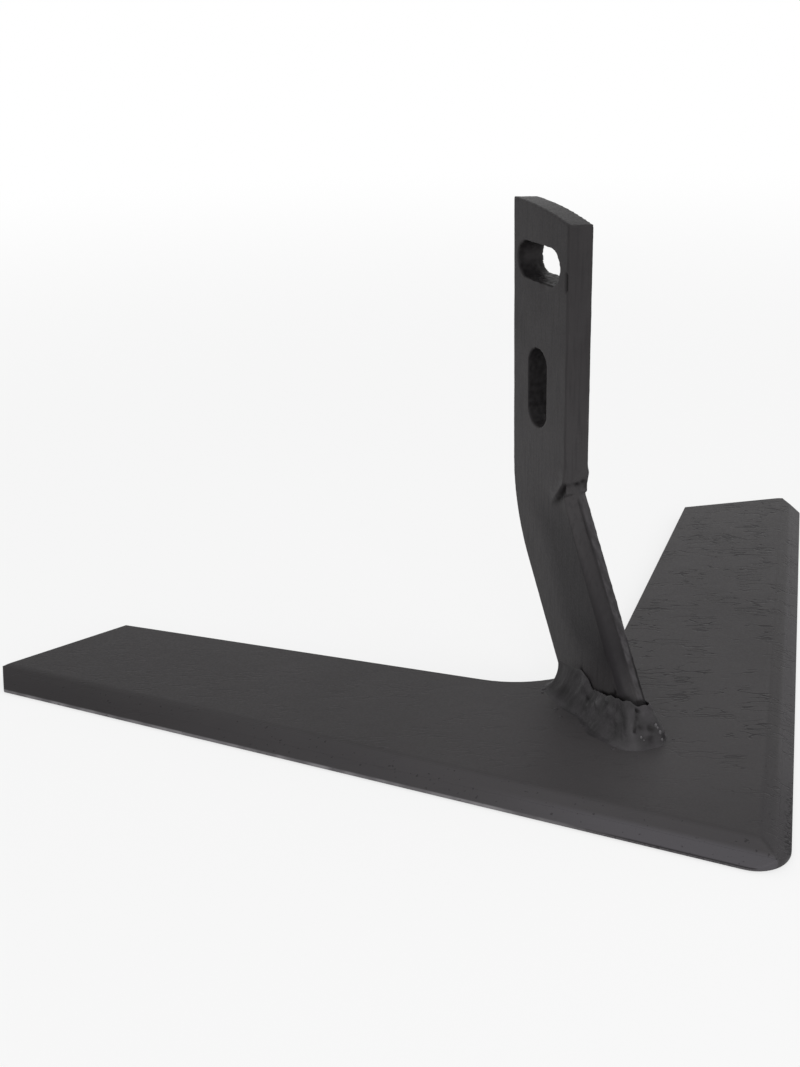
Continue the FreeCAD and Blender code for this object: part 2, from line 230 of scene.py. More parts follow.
def fold(p, n):
    """The squeezed metal: proud above the fold, sunk below it with painted shade, on side and
    front.
    """
    run = Vector((FOLD_END[0] - FOLD_TOP[0], FOLD_END[1] - FOLD_TOP[1]))
    length = run.length
    run.normalize()
    off = Vector((p.y - FOLD_TOP[0], p.z - FOLD_TOP[1]))
    along = off.dot(run)
    side = off.x * -run.y + off.y * run.x
    near = ease(-n.x, 0.35, 0.8)
    far = ease(n.x, 0.35, 0.8)
    front = 1 - near - far
    side += 0.5 * rough((p.y, p.z, 0), 4, 3)
    strength = near * (1 - ease(along, 6.5, length + 0.5)) * ease(along, -4, -1)
    bow = side + 1.3 * math.sin(math.pi * min(1, max(0, along / length)))
    step = (ease(bow, -1.1, 0.9) - 0.5) * math.exp(-abs(bow) / 3.2)
    level = p.z - 88.2 + 1.5 * rough((p.x, 0, 0), 2.6, 7)
    inner = (ease(level, -1.5, 1.0) - 0.5) * math.exp(-abs(level) / 2.6)
    reach = ease(p.y, 14, 2)
    depth = FOLD_DEPTH * (strength * step + 0.35 * (front + 0.15 * far) * inner * reach)
    depth += 0.35 * front * rough(p, 1.9, 41) * hill(level + 1.5, 3.0)
    # painted shade: the fold and the inside of the bend are darkened
    dark = 1.2 * strength * hill(bow + 0.9, 1.3) + 0.25 * front * hill(level + 0.7, 0.8) * reach
    return depth, dark


print("fold at its deepest:", [round(v, 3) for v in fold(Vector((-5, 1, 83)), Vector((-1, 0, 0)))])

# %% [markdown]
# The front edge was sheared, so it keeps a nick beside the upper slot, pits in the corner of the
# bend, and a row of shallow ticks; the nick and the pits get painted shade. The welding arc
# touched the bar twice just above the weld and burnt the steel there. These are single spots, so
# most of them are rows of a short table.

# %% Dents and spots
NICK_DEPTH, LUMP_HEIGHT, DENT_DEPTH, BURN_DEPTH = 0.9, 0.55, 0.35, 0.3
PITS = [(0.2, 87.6, 1.0, 0.7), (2.6, 88.3, 0.9, 0.8), (3.9, 86.2, 0.8, 0.4)]  # x, z, radius, depth
BURNT = [(-17.2, 18.6), (-40.2, 20.5)]  # y and z of the two burnt spots
TICK_PITCH, TICK_DEPTH = 1.9, 0.10  # from one tick to the next, and their depth


def dents(p, n):
    """Nick and dent beside the upper slot, pits and lump at the bend, ticks, and burnt spots."""
    front, side = ease(-n.y, 0.4, 0.9), ease(-n.x, 0.5, 0.9)
    nick = hill(p.y + 0.9, 0.5) * ease(p.z, 158.6, 160.2) * (1 - ease(p.z, 165, 166.6))
    nick *= ease(-n.x, 0.3, 0.7)
    # painted shade in the nick
    depth, dark = -NICK_DEPTH * nick, nick
    for x, z, radius, deep in PITS:
        pit = hill(math.hypot(p.x - x, p.z - z), radius) * front
        depth -= deep * pit
        # painted shade in each pit
        dark += 0.6 * pit
    lump = hill(math.hypot(p.x - 4.6, p.z - 91.3), 2.0) * ease(2 - p.y, 0, 2)
    depth += LUMP_HEIGHT * lump
    ticks = ease(p.z, 97, 99) * (1 - ease(p.z, 110, 112)) * hill(p.x - 1.2, 2.2)
    depth -= TICK_DEPTH * ticks * front * (0.5 + 0.5 * math.sin(p.z * 2 * math.pi / TICK_PITCH))
    depth -= DENT_DEPTH * side * hill(math.hypot((p.y - 14.4) / 1.5, p.z - 159.3), 1.5)
    for y, z in BURNT:
        burn = hill(math.hypot(p.y - y, p.z - z), 1.1) * side
        depth -= BURN_DEPTH * burn
        dark += burn
    return depth, dark


print("nick:", [round(v, 2) for v in dents(Vector((-5, -0.9, 162)), Vector((-1, 0, 0)))])

# %% [markdown]
# Below the bend the front is crowned: two shallow facets meet in a seam that wanders a little and
# fades downward, and the seam gets painted shade. A dark line runs along the far corner, low down.
# The cropped top is slightly twisted, and painted darker than the rolled faces as shade.

# %% Crowned front and cropped top
SEAM_DEPTH, FACET_DEPTH = 0.85, 0.22


def crown(p, n):
    """The seam down the crowned front with its painted shade, the rough facet beyond it, and a
    dark far line.
    """
    low = ease(84 - p.z, 0, 3) * ease(-p.y, 2, 5) * ease(-n.y, 0.3, 0.6)
    # painted shade along the seam
    seam = low * hill(p.x - 0.25 - 0.3 * rough((0, 0, p.z), 9, 21), 0.55)
    seam *= 0.75 + 0.5 * rough((0, 0, p.z), 5, 23)
    seam *= 0.55 + 0.45 * ease(p.z, 58, 74)
    facet = low * ease(p.x, 0.8, 2.0) * rough(p, 2.4, 27)
    # a dark line along the far corner, low down
    far_corner_line = ease(p.x, 3.2, 3.9) * ease(-p.y, 30, 38) * ease(-n.y, 0.05, 0.2)
    return FACET_DEPTH * facet - SEAM_DEPTH * seam, 0.75 * seam + far_corner_line


def cut_top(p, n):
    """The cropped top, a little twisted and painted darker as shade."""
    high = ease(p.z, 176, 179)
    # painted shade on the cropped top
    return ease(n.z, 0.5, 0.9) * high * (0.10 + 0.05 * p.x), 0.33 * ease(n.z, 0.6, 0.9) * high


print("seam:", [round(v, 2) for v in crown(Vector((0.25, -20, 75)), Vector((0, -1, 0)))])

# %% [markdown]
# ## Inside the slots
# The punch tore the last millimetres out, so the slots' walls are rough, and little paint gets in.
# They are painted nearly black, partly as bare rough steel and partly as painted shade inside the
# slots, with a paler band of painted light across the rounded end, and a few specks.

# %% Walls of the slots
LEVEL_Z, UPRIGHT_Z = 166.0, 119.7  # middle of the upper, level slot and of the lower, upright one
STRAIGHT = 8.25  # half the straight part between a slot's round ends


def slot_wall(p, n):
    """1 on the walls of both slots, 0 on the faces."""
    inside = ease(0.9 - abs(n.x), 0.0, 0.5)
    level = math.hypot(max(0, abs(p.y - SLOT_Y) - STRAIGHT), p.z - LEVEL_Z)
    upright = math.hypot(p.y - SLOT_Y, max(0, abs(p.z - UPRIGHT_Z) - STRAIGHT))
    return inside * (1 - ease(min(level, upright), 7.2, 8.2))


def torn(p, n):
    """Roughness of a punched wall, deepest toward the far face, and its painted shade and lit
    band.
    """
    wall = slot_wall(p, n)
    lit_band = hill(p.z - 166.5, 3.2) * ease(p.x, -4.5, -1)
    depth = 0.22 * rough(p, 2.6, 31) + 0.16 * rough(p, 1.2, 33) + 0.10 * (p.x + HALF_THICK)
    # painted shade inside the slots, less on the painted lit band
    return wall * depth, wall * (0.75 - 0.75 * lit_band + 0.25 * rough(p, 1.6, 35))


print("slot wall:", slot_wall(Vector((0, 19, 159.3)), Vector((0, 0, 1))))

# %% [markdown]
# ## Pushing the skin
# Beside those marks the whole bar has the faint unevenness of hot-rolled steel, more on the
# sheared front and back than on the rolled sides. It stays within a few tenths of a millimetre, so
# bolts and clamps would still find the same flat faces as on the exact model. Two values are kept
# with each point for the paint to read later: a darkness, which is painted shade except at the two
# burnt spots, and the share of painted light and shade on the round corner of the crowned front.

# %% Push the skin along its normals
def uneven(p, n):
    """Rolled faces are nearly flat, sheared edges are lumpier."""
    edge = ease(abs(n.y), 0.4, 0.9)
    wide = rough(p, 14, 1) * (0.07 + 0.10 * edge)
    small = rough(p, 3.2, 5) * (0.025 + 0.10 * edge)
    grit = rough(p, 1.1, 9) * (0.012 + 0.03 * edge)
    return wide + small + grit


def round_corner(p, n):
    """1 on the round near corner of the crowned front, where light and shade are painted."""
    corner = ease(-n.x, 0.15, 0.5) * (1 - ease(-n.x, 0.90, 0.99)) * ease(-n.y, 0.1, 0.3)
    return corner * ease(84 - p.z, 0, 3)


painted_light_and_burns = bar_skin.attributes.new("painted_light_and_burns", "FLOAT", "POINT").data
corner = bar_skin.attributes.new("corner", "FLOAT", "POINT").data
points = [v.co.copy() for v in bar_skin.vertices]
normals = [v.normal.copy() for v in bar_skin.vertices]
pushes = []
# each mark gives a depth and a darkness; the darkness is painted shade, except at the burnt spots
for index, (p, n) in enumerate(zip(points, normals)):
    marks = [fold(p, n), dents(p, n), crown(p, n), cut_top(p, n), torn(p, n)]
    pushes.append(uneven(p, n) + sum(depth for depth, dark in marks))
    painted_light_and_burns[index].value = min(1.0, sum(dark for depth, dark in marks))
    corner[index].value = round_corner(p, n)
for vertex, p, n, depth in zip(bar_skin.vertices, points, normals, pushes):
    vertex.co = (p + n * depth) * MM
bar_skin.update()
bar_skin.shade_smooth()
print("pushed between", round(min(pushes), 2), "and", round(max(pushes), 2), "mm")

# %% [markdown]
# ## The weld
# The weld is a hand-laid run: a rough skirt beside the bar, and a thick drop of metal round the
# toe. Its upper edge stands a little off the bar, which leaves the dark undercut line that catches
# the eye. A lump of noise would not give that line, so the weld is lofted: a path runs round the
# foot of the bar, and at each step of the path a cross-section goes from inside the bar, over the
# lip, down to the blade. The loop closes below the blade's surface, so the result is one closed
# solid.

# %% Path round the foot of the bar
HALF_DEPTH, MID_Y, ROUND = 25.7, -29.2, 2.4  # half the foot's depth, its middle, and its corners
PLATE_TOP = 6.0
LEAN = math.tan(math.radians(34.3))  # how far the bar moves back for each millimetre of height
MIDDLE = 5.0  # the middle of the weld lies this far outside the bar


def foot(turn):
    """Point and outward direction at a share of a rounded rectangle, from the heel's middle."""
    flat_x, flat_y = HALF_THICK - ROUND, HALF_DEPTH - ROUND
    arc = (ROUND + MIDDLE) * math.pi / 2  # as long as the middle of the weld, so steps stay even
    legs = [flat_x, arc, 2 * flat_y, arc, 2 * flat_x, arc, 2 * flat_y, arc, flat_x]
    spots = [(0, flat_y), (-flat_x, flat_y), (-flat_x, flat_y), (-flat_x, -flat_y)]
    spots += [(-flat_x, -flat_y), (flat_x, -flat_y), (flat_x, -flat_y), (flat_x, flat_y)]
    spots += [(flat_x, flat_y)]
    angles = [90, 90, 180, 180, 270, 270, 360, 360, 450]
    left = turn * sum(legs)
    for leg, spot, angle, index in zip(legs, spots, angles, range(9)):
        if left <= leg or index == 8:
            break
        left -= leg
    bent = index % 2 == 1
    heading = math.radians(angle + (90 * left / leg if bent else 0))
    out = Vector((math.cos(heading), math.sin(heading), 0))
    run = Vector((-out.y, out.x, 0)) * (0 if bent else left)
    return Vector((spot[0], spot[1] + MID_Y, 0)) + run + out * ROUND, out


print("path round the foot starts at", foot(0)[0][:], "and has its quarter at", foot(0.25)[0][:])

# %% [markdown]
# ## Size of the weld along its path
# How high it climbs and how far it spreads changes all along the run, as the welder's hand did. On
# the near side those sizes are read along the bar; on the far side, which is welded the same way,
# simpler values do. The toe has its own, boxier cross-section.

# %% Height and spread
# Each pair is a place along the bar and the size there.
NEAR_HEIGHT = [(-55, 14.4), (-48.5, 12.8), (-43, 11.4), (-36.5, 9.9), (-32, 9.6), (-30.8, 11.9)]
NEAR_HEIGHT += [(-26, 12.6), (-20, 11.2), (-10, 9.4), (-4, 8.4)]
NEAR_SPREAD = [(-54, 5.5), (-50, 8.0), (-45, 9.4), (-40, 11.0), (-33, 9.4), (-28, 8.2), (-20, 9.8)]
NEAR_SPREAD += [(-12, 10.2), (-4, 8.8)]
FAR_HEIGHT = [(-54, 11.0), (-46, 10.5), (-30, 9.5), (-10, 8.5), (0, 6.0)]
FAR_SPREAD = [(-54, 3.8), (-46, 6.5), (-30, 8.6), (-10, 8.8), (0, 6.5)]
TOE_HEIGHT, TOE_PEAK, TOE_SPREAD = 11.6, 3.1, 4.3  # the peak is the rise toward the near side
HEEL_HEIGHT, HEEL_SPREAD = 7.4, 5.4


def weld_size(at, out):
    """Height up the bar, spread over the blade, share of toe shape, and share of undercut lip."""
    toe = ease(-out.y, 0.25, 0.95)
    heel = ease(out.y, 0.25, 0.95)
    near = ease(-out.x, -0.6, 0.6)
    height = near * between(at.y, NEAR_HEIGHT) + (1 - near) * between(at.y, FAR_HEIGHT)
    spread = near * between(at.y, NEAR_SPREAD) + (1 - near) * between(at.y, FAR_SPREAD)
    toe_height = TOE_HEIGHT + TOE_PEAK * ease(-at.x, 0, 4.3)
    height += toe * (toe_height - height) + heel * (HEEL_HEIGHT - height)
    spread += toe * (TOE_SPREAD - spread) + heel * (HEEL_SPREAD - spread)
    lip = (1 - ease(at.y, -31, -24)) * (0.55 + 0.45 * max(near, toe))
    return height, spread, toe, lip


print("weld at the toe:", [round(v, 1) for v in weld_size(*foot(0.5))])

# %% [markdown]
# ## Cross-sections
# Beside the bar the weld is a skirt, steep under the lip and feathered out over the blade. Round
# the toe it is a thick drop. Toward the heel, where there is no lip, it is a soft hollow fillet.
# Each section mixes these three by the shares that were just worked out, and adds a jagged upper
# edge.

# %% Cross-sections
STEPS, ROWS = 420, 44  # sections along the path, and rows from the lip down to the blade
INSIDE, BELOW = -2.2, -1.2  # where the loop closes: inside the bar, and under the blade's surface


def side_rise(v):
    """Cross-section beside the bar: steep under the lip, then feathered out over the blade."""
    return (1 - ease(v, -0.25, 1)) ** 1.8 / 0.82


def toe_rise(v, near):
    """Cross-section of the drop round the toe, nearly upright at its outer end on the far side."""
    return (1 - v ** (3.2 - 1.3 * near)) ** (0.95 + 0.5 * near)


def weld_ring(index):
    """One closed cross-section, from inside the bar over the lip to below the blade's surface."""
    at, out = foot(index / STEPS)
    height, spread, toe, lip = weld_size(at, out)
    spot = at + out * MIDDLE
    jag = (0.1 + 0.6 * lip) * rough(spot, 5, 2) + 0.40 * lip * rough(spot, 1.9, 4)
    spread += 0.7 * rough(spot, 9, 8) + 0.10 * lip * rough(spot, 2.6, 6)
    off = 1.1 * toe
    top = height + jag
    ring = [(INSIDE, BELOW), (INSIDE, top - 5.4), (-0.8, top - 1.0 - 3.4 * lip)]
    ring.append((0.1 - 0.4 * (1 - lip) + off, top - 3.4 * lip))
    ring.append((0.35 * lip - 0.1 + off, top - 0.5 * lip))
    for row in range(ROWS + 1):
        v = row / ROWS
        bend = v * math.pi / 2
        rise = side_rise(v) * (1 - toe) + toe_rise(v, ease(-out.x, 0, 0.9)) * toe
        fade = (1 - v) ** 6
        level = 0.5 * (1 - v) ** 1.6 + 0.5 * (1 - math.sin(bend))
        soft = (spread * (0.5 * v + 0.5 * (1 - math.cos(bend))), height * level + jag * fade)
        inner = 0.75 + off
        hard = (inner + (spread - inner) * v, height * rise + jag * fade)
        ring.append((hard[0] * lip + soft[0] * (1 - lip), hard[1] * lip + soft[1] * (1 - lip)))
    ring += [(spread + 0.5, -0.06), (spread + 0.9, BELOW)]
    shore = at + Vector((0, top * LEAN, PLATE_TOP + top))
    return [at + out * r + Vector((0, h * LEAN, PLATE_TOP + h)) for r, h in ring], out, shore, lip


print("points in one cross-section:", len(weld_ring(0)[0]))

# %% [markdown]
# ## Lumps, ripples, beads and pits
# Molten metal freezes in ripples across the run, in lumps where the welder paused, and in small
# beads on the toe, with pits between them. Noise gives the ripples and lumps. The beads and pits
# that catch the eye have their own places, and so has the crease down the toe. Each point also
# gets a value for the paint: above 0 it is painted shade in pits, hollows and the crease, below 0
# it is a painted highlight on small beads.

# %% Relief of the weld
# Each row is x, y, z, radius and push; a negative push is a pit.
BEADS = [
    (2.0, -54.5, 11.5, 4.0, 1.0), (-2.6, -53.6, 12.4, 1.3, -0.9), (4.9, -52.7, 10.9, 1.2, 0.8),
    (5.6, -54.7, 8.6, 1.2, 0.8), (5.6, -57.1, 6.9, 1.2, 0.6), (-0.3, -50.7, 15.0, 1.4, 0.6),
    (-0.2, -55.2, 9.5, 1.6, 0.5), (2.6, -51.4, 13.4, 1.2, 0.4), (0.9, -54.7, 11.3, 1.5, -1.2),
    (-0.1, -56.4, 7.9, 1.6, -1.1), (5.9, -57.0, 6.9, 1.6, -1.2), (-7.6, -33.0, 13.0, 1.8, 0.6),
    (-7.8, -21.0, 15.0, 2.2, 0.5), (-8.0, -41.0, 14.0, 2.0, 0.5), (-8.4, -26.6, 11.5, 1.6, -0.6),
    (-10.5, -10.0, 9.4, 2.4, 0.5), (-8.4, -46.4, 13.4, 1.7, 0.5),
]
CREASE = (Vector((-1.2, -50.0, 17.5)), Vector((-5.2, -54.0, 11.4)))  # from and to
RIPPLE_PITCH = 2.9
PIT_DARK, BEAD_HIGHLIGHT, SMALL_BEAD = 0.8, 0.28, 2.1  # pits get painted shade; only beads of a small radius get a painted highlight


def weld_relief(p, out, row):
    """How far a point of the open surface is pushed out, and its painted shade or, below 0,
    highlight.
    """
    fade = ease(row, 0, 4) * (1 - ease(row, 0.45 * ROWS, ROWS)) ** 1.3
    drop = ease(p.x, -6.5, -2.5) * ease(-p.y, 46, 51)
    lively = 0.2 + 0.8 * ease(-p.y, 6, 26)  # the run starts calm at the heel
    lumps = (0.34 + 0.3 * drop) * rough(p, 6.5, 11)
    lumps += lively * (0.16 + 0.2 * drop) * rough(p, 2.6, 13)
    lumps += lively * (0.08 + 0.1 * drop) * rough(p, 1.1, 17)
    wave = math.sin(p.y * 2 * math.pi / RIPPLE_PITCH + 4.5 * rough(p, 5, 19))
    ripple = 0.07 * lively * abs(out.x) ** 3 * wave
    beads = [(size, r, hill((p - Vector((x, y, z))).length, r)) for x, y, z, r, size in BEADS]
    extra = sum(size * share for size, r, share in beads)
    # painted shade in the pits, then a painted highlight on small beads
    dark = sum(PIT_DARK * share for size, r, share in beads if size < 0)
    highlight = sum(BEAD_HIGHLIGHT * share for size, r, share in beads if size > 0 and r < SMALL_BEAD)
    start, end = CREASE
    along = min(1.0, max(0.0, (p - start).dot(end - start) / (end - start).length_squared))
    crease = hill((p - start.lerp(end, along)).length, 0.75) * (0.7 + 0.5 * rough(p, 1.4, 37))
    push = fade * (lumps + ripple) + (extra - crease) * ease(row, 0, 3)
    return push, max(ease(-push, 0.15, 1.0), dark) - highlight


def weld_shade_and_light(p, out, row):
    """Painted shade on the near side toward the heel and halfway down, painted light low on the
    toe.
    """
    low = row / ROWS
    paint = 0.35 * ease(p.y, -24, -10) + 0.3 * ease(low, 0.35, 0.55) * (1 - ease(-p.y, 38, 46))
    paint = paint * (1 - ease(low, 0.7, 0.97)) - 0.25 * ease(-p.y, 47, 53) * ease(low, 0.3, 0.6)
    return ease(-out.x, 0.2, 0.7) * paint


print("beads", sum(row[4] > 0 for row in BEADS), "and pits", sum(row[4] < 0 for row in BEADS))

# %% [markdown]
# ## Lofting
# All cross-sections have the same number of points, so neighbours are joined by four-sided faces,
# and the last one closes up with the first. Only then does every point of the open surface have a
# normal to be pushed along.

# %% Loft the cross-sections
lofted = bmesh.new()
deep = lofted.verts.layers.float.new("painted_light_and_burns")
rings, outs = [], []
undercut, shares, reaches = KDTree(STEPS), [], []  # the lip's line, its darkness and its width
for index in range(STEPS):
    spots, out, shore, lip = weld_ring(index)
    rings.append([lofted.verts.new(spot) for spot in spots])
    outs.append(out)
    undercut.insert(shore, index)
    shares.append(lip * (0.3 + 0.9 * ease(-foot(index / STEPS)[0].y, 36, 41)))
    reaches.append(0.75 + 0.35 * max(0, -out.y))
count = len(rings[0])
for index in range(STEPS):
    here, after = rings[index], rings[(index + 1) % STEPS]
    for row in range(count):
        up = (row + 1) % count
        lofted.faces.new((here[row], here[up], after[up], after[row]))
bmesh.ops.recalc_face_normals(lofted, faces=lofted.faces)
lofted.normal_update()
print("weld faces", len(lofted.faces))

# %% Push the weld's open surface
HIDDEN = 5  # points at the start of each cross-section that lie in the bar or under the lip

moves = []
for out, ring in zip(outs, rings):
    for row, vertex in enumerate(ring[HIDDEN:-1]):
        relief, dark = weld_relief(vertex.co, out, row)
        moves.append((vertex, vertex.normal.copy(), relief))
        vertex[deep] = dark + weld_shade_and_light(vertex.co, out, row)
    # painted shade on the points inside the bar and under the lip
    for vertex in ring[:HIDDEN] + ring[-1:]:
        vertex[deep] = 1.0
for vertex, normal, relief in moves:
    vertex.co += normal * relief
print("weld points", len(lofted.verts), "volume", round(lofted.calc_volume() / 1000, 2), "cm3")

# %% [markdown]
# ## The undercut
# Along the lip the arc bit into the bar, and the shade in that gap is painted on the bar as a
# black line that follows the weld. It is written into the bar's darkness values: full on the line
# itself, gone a millimetre and a half away.

# %% Darken the bar along the lip
FOOT_TOP = 40  # no weld reaches above this height
UNDERCUT_DARK = 1.2  # more than 1, so that the line stays black to its edges

undercut.balance()
dark_points = 0
for index, p in enumerate(points):
    if p.z < FOOT_TOP:
        spot, nearest, distance = undercut.find(p)
        below = ease(spot.z - p.z, -0.2, 0.2)
        line = max(below, hill(distance, reaches[nearest]))
        # painted shade in the gap under the weld's lip
        dark = UNDERCUT_DARK * shares[nearest] * line
        dark_points += dark > 0.3
        painted_light_and_burns[index].value = min(1.0, painted_light_and_burns[index].value + dark)
print("bar points in the undercut:", dark_points)

# %% [markdown]
# ## Spatter
# Beads that flew off the arc froze where they landed. On the plate they are flat blisters under
# the paint; on the drop they stand up and get a painted highlight. Each is a small squashed
# ball that is sunk halfway into what it sits on.

# %% Spatter on the blade and on the drop
SPATTER = [(-13.7, -3.6, 0.7), (-15.6, -5.8, 0.5), (-11.4, -28.4, 0.7), (-17.2, -19.0, 0.6)]
SPATTER += [(-12.2, -25.6, 0.8), (-18.4, -24.6, 0.5), (-13.0, -52.6, 0.6), (-8.6, -61.2, 0.6)]
SPATTER += [(9.6, -57.2, 0.5), (13.6, -30.2, 0.7), (14.8, -12.4, 0.5), (-14.6, -33.5, 0.6)]
ON_DROP = [(3.1, -55.0, 12.4, 0.7), (3.5, -55.6, 11.6, 0.5), (4.1, -56.3, 9.9, 0.8)]
ON_DROP += [(4.2, -57.7, 7.6, 0.6), (-3.6, -55.9, 9.7, 0.6), (-2.9, -56.6, 8.6, 0.5)]
UPRIGHT_BEAD, BLISTER = (0.8, 0.8, 1.2, 1), (1.4, 1.2, 0.45, 1)  # how the balls are stretched

for x, y, z, radius in ON_DROP:
    place = Matrix.Translation((x, y, z)) @ Matrix.Diagonal(UPRIGHT_BEAD)
    bead = bmesh.ops.create_icosphere(lofted, subdivisions=3, radius=radius, matrix=place)
    for vertex in bead["verts"]:
        vertex[deep] = -1.0  # painted highlight
for x, y, radius in SPATTER:
    place = Matrix.Translation((x, y, PLATE_TOP)) @ Matrix.Diagonal(BLISTER)
    bmesh.ops.create_icosphere(lofted, subdivisions=3, radius=radius, matrix=place)
bmesh.ops.scale(lofted, vec=(MM,) * 3, verts=lofted.verts)
weld_mesh = bpy.data.meshes.new("weld_run")
lofted.to_mesh(weld_mesh)
lofted.free()
weld_mesh.shade_smooth()
weld = bpy.data.objects.new("weld_run", weld_mesh)
bpy.context.scene.collection.objects.link(weld)
print("spatter beads", len(SPATTER), "and on the drop", len(ON_DROP))

# %% [markdown]
# ## The skin of the blade
# The blade is flame-cut plate with a bevel ground along its leading edges in two strips that run
# softly into each other. Its shape is already exact, so the skin is again a copy. The triangles of
# each flat face are joined first, so that the bevels meet clean corners. The shallow edges of the
# ground strips are rounded widely, the cut edges by a fraction of a millimetre, which gives each
# its thin highlight. Where roundings meet at the nose a few points would stand proud, so they are
# pulled back to the plate.

# %% Round the blade's edges
GROUND = 1.9  # rounding between the ground strips
SHEARED = 0.35  # rounding of the cut edges
SHALLOW = math.radians(35)  # ground strips meet at less than this, cut edges at more
PROUD = 1e-3  # millimetres that a point may stand over the exact blade


def ground(edge):
    """True for the shallow edges between the ground strips."""
    return edge.calc_length() > 5 and edge.calc_face_angle(0) < SHALLOW


def cut(edge):
    """True for the edges of the cut outline."""
    return edge.calc_face_angle(0) > SHALLOW


shaped = exact_copy(nodes["blade"])
exact = BVHTree.FromBMesh(shaped)
round_off(shaped, ground, GROUND, 4, 6)
round_off(shaped, cut, SHEARED, 2, 6)
pulled = 0
for vertex in shaped.verts:
    spot, normal, face_index, distance = exact.find_nearest(vertex.co)
    if (vertex.co - spot).dot(normal) > PROUD:
        vertex.co = spot
        pulled += 1
print("points pulled back to the exact blade:", pulled)

# %% [markdown]
# Wide faces are shaded flat and only the narrow roundings smooth, so no rounding bends a wide
# face's shading, however its triangles run. An edge down the middle keeps each wing's triangles
# apart.

# %% Shade and finish the blade
WIDE_FACE = 50  # square millimetres; smaller faces belong to roundings

whole = shaped.verts[:] + shaped.edges[:] + shaped.faces[:]
bmesh.ops.bisect_plane(shaped, geom=whole, plane_co=(0, 0, 0), plane_no=(1, 0, 0))
for face in shaped.faces:
    face.smooth = face.calc_area() < WIDE_FACE
bmesh.ops.triangulate(shaped, faces=shaped.faces, ngon_method="BEAUTY")
bmesh.ops.scale(shaped, vec=(MM,) * 3, verts=shaped.verts)
blade_mesh = bpy.data.meshes.new("blade_skin")
shaped.to_mesh(blade_mesh)
shaped.free()
blade = bpy.data.objects.new("blade_skin", blade_mesh)
bpy.context.scene.collection.objects.link(blade)
print("blade skin:", len(blade_mesh.polygons), "triangles")

# %% [markdown]
# ## Tie the pieces to the exact model
# The three new pieces ride on the model's one body, and the plain solids they dress are hidden, so
# the model keeps its collision shapes while the render shows the detailed skins.

# %% Ride on the body and hide the plain solids
for piece, node_name in ((blade, "blade"), (bar, "shank"), (weld, "weld")):
    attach(piece, "root")
    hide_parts(node_name)
print("pieces:", blade.name, bar.name, weld.name)

# %% [markdown]
# ## Paint
# The finish is one thin coat of satin black enamel, sprayed over hot-rolled steel that was not
# smoothed first. It looks dark warm grey rather than black, because the coat is slightly rough and
# scatters the sky's light. What sets the three places apart is the steel underneath: wavy mill
# scale on the plate, fine drawn lines on the bar, frozen lumps on the weld. Every paint is built
# up in the same way, from layers of colour, each with smooth masks that say where it shows.

# %% Helpers for nodes and layers
def srgb(text):
    """Linear colour from an sRGB hex text."""
    parts = [int(text[i : i + 2], 16) / 255 for i in (0, 2, 4)]
    return [c / 12.92 if c <= 0.04045 else ((c + 0.055) / 1.055) ** 2.4 for c in parts] + [1.0]


def add(tree, kind, links, out=0, **settings):
    """Adds a node and returns one output; links sets inputs to numbers, colours or outputs."""
    made = tree.nodes.new("ShaderNode" + kind)
    for key, value in settings.items():
        setattr(made, key, value)
    for key, value in links.items():
        if isinstance(value, bpy.types.NodeSocket):
            tree.links.new(value, made.inputs[key])
        else:
            made.inputs[key].default_value = value
    return made.outputs[out] if made.outputs else None


def mask(tree, *parts):
    """Multiplies its parts: outputs, numbers, and ramps as (value, start, end, low, high)."""
    product = None
    for part in parts:
        if isinstance(part, tuple):
            part = add(tree, "MapRange", dict(enumerate(part)), interpolation_type="SMOOTHSTEP")
        if product is not None:
            part = add(tree, "Math", {0: product, 1: part}, operation="MULTIPLY")
        product = part
    return product


def layer(tree, under, over, *parts, spare=None):
    """Lays a colour over another where the mask of the parts says so, less what spare covers."""
    amount = mask(tree, *parts)
    if spare is not None:
        amount = add(tree, "Math", {0: amount, 1: spare}, operation="SUBTRACT")
    pair = [srgb(colour) if isinstance(colour, str) else colour for colour in (under, over)]
    return add(tree, "Mix", {0: amount, 6: pair[0], 7: pair[1]}, 2, data_type="RGBA")


print("satin black as linear:", [round(c, 4) for c in srgb("38363a")])

# %% Helpers for paint
ENAMEL_IOR = 1.5  # typical of a paint's binder
SHEEN = 0.1  # specular level; at the usual 0.5 the white room would grey the satin coat


def paint(name):
    """An empty material with its position in millimetres."""
    made = bpy.data.materials.new(name)
    made.use_nodes = True
    tree = made.node_tree
    tree.nodes.clear()
    place = add(tree, "TexCoord", {}, "Object")
    place = add(tree, "VectorMath", {0: place, 1: (1 / MM,) * 3}, operation="MULTIPLY")
    return made, tree, place


def grain(tree, place, size, detail=2.0, turn=0.0, stretch=(1, 1, 1)):
    """Noise with lumps of a size in millimetres, turned about the vertical and stretched."""
    links = {"Vector": place, "Rotation": (0, 0, turn), "Scale": [size * s for s in stretch]}
    local = add(tree, "Mapping", links, vector_type="TEXTURE")
    return add(tree, "TexNoise", {"Vector": local, "Scale": 1.0, "Detail": detail})


def enamel(tree, colour, roughness, *relief):
    """The coat, a dielectric. Roughness is a ramp; relief is pairs of pattern and millimetres."""
    height = 0.0
    for pattern, depth in relief:
        height = add(tree, "Math", {0: pattern, 1: depth, 2: height}, operation="MULTIPLY_ADD")
    bump = add(tree, "Bump", {"Height": height, "Distance": MM, "Strength": 1.0})
    links = {"Base Color": colour, "Roughness": mask(tree, roughness), "Normal": bump}
    links.update({"IOR": ENAMEL_IOR, "Specular IOR Level": SHEEN, "Metallic": 0.0})
    add(tree, "OutputMaterial", {"Surface": add(tree, "BsdfPrincipled", links)})


mirrored = ((ENAMEL_IOR - 1) / (ENAMEL_IOR + 1)) ** 2
print("share of light that bare enamel mirrors, seen straight on:", round(mirrored, 3))

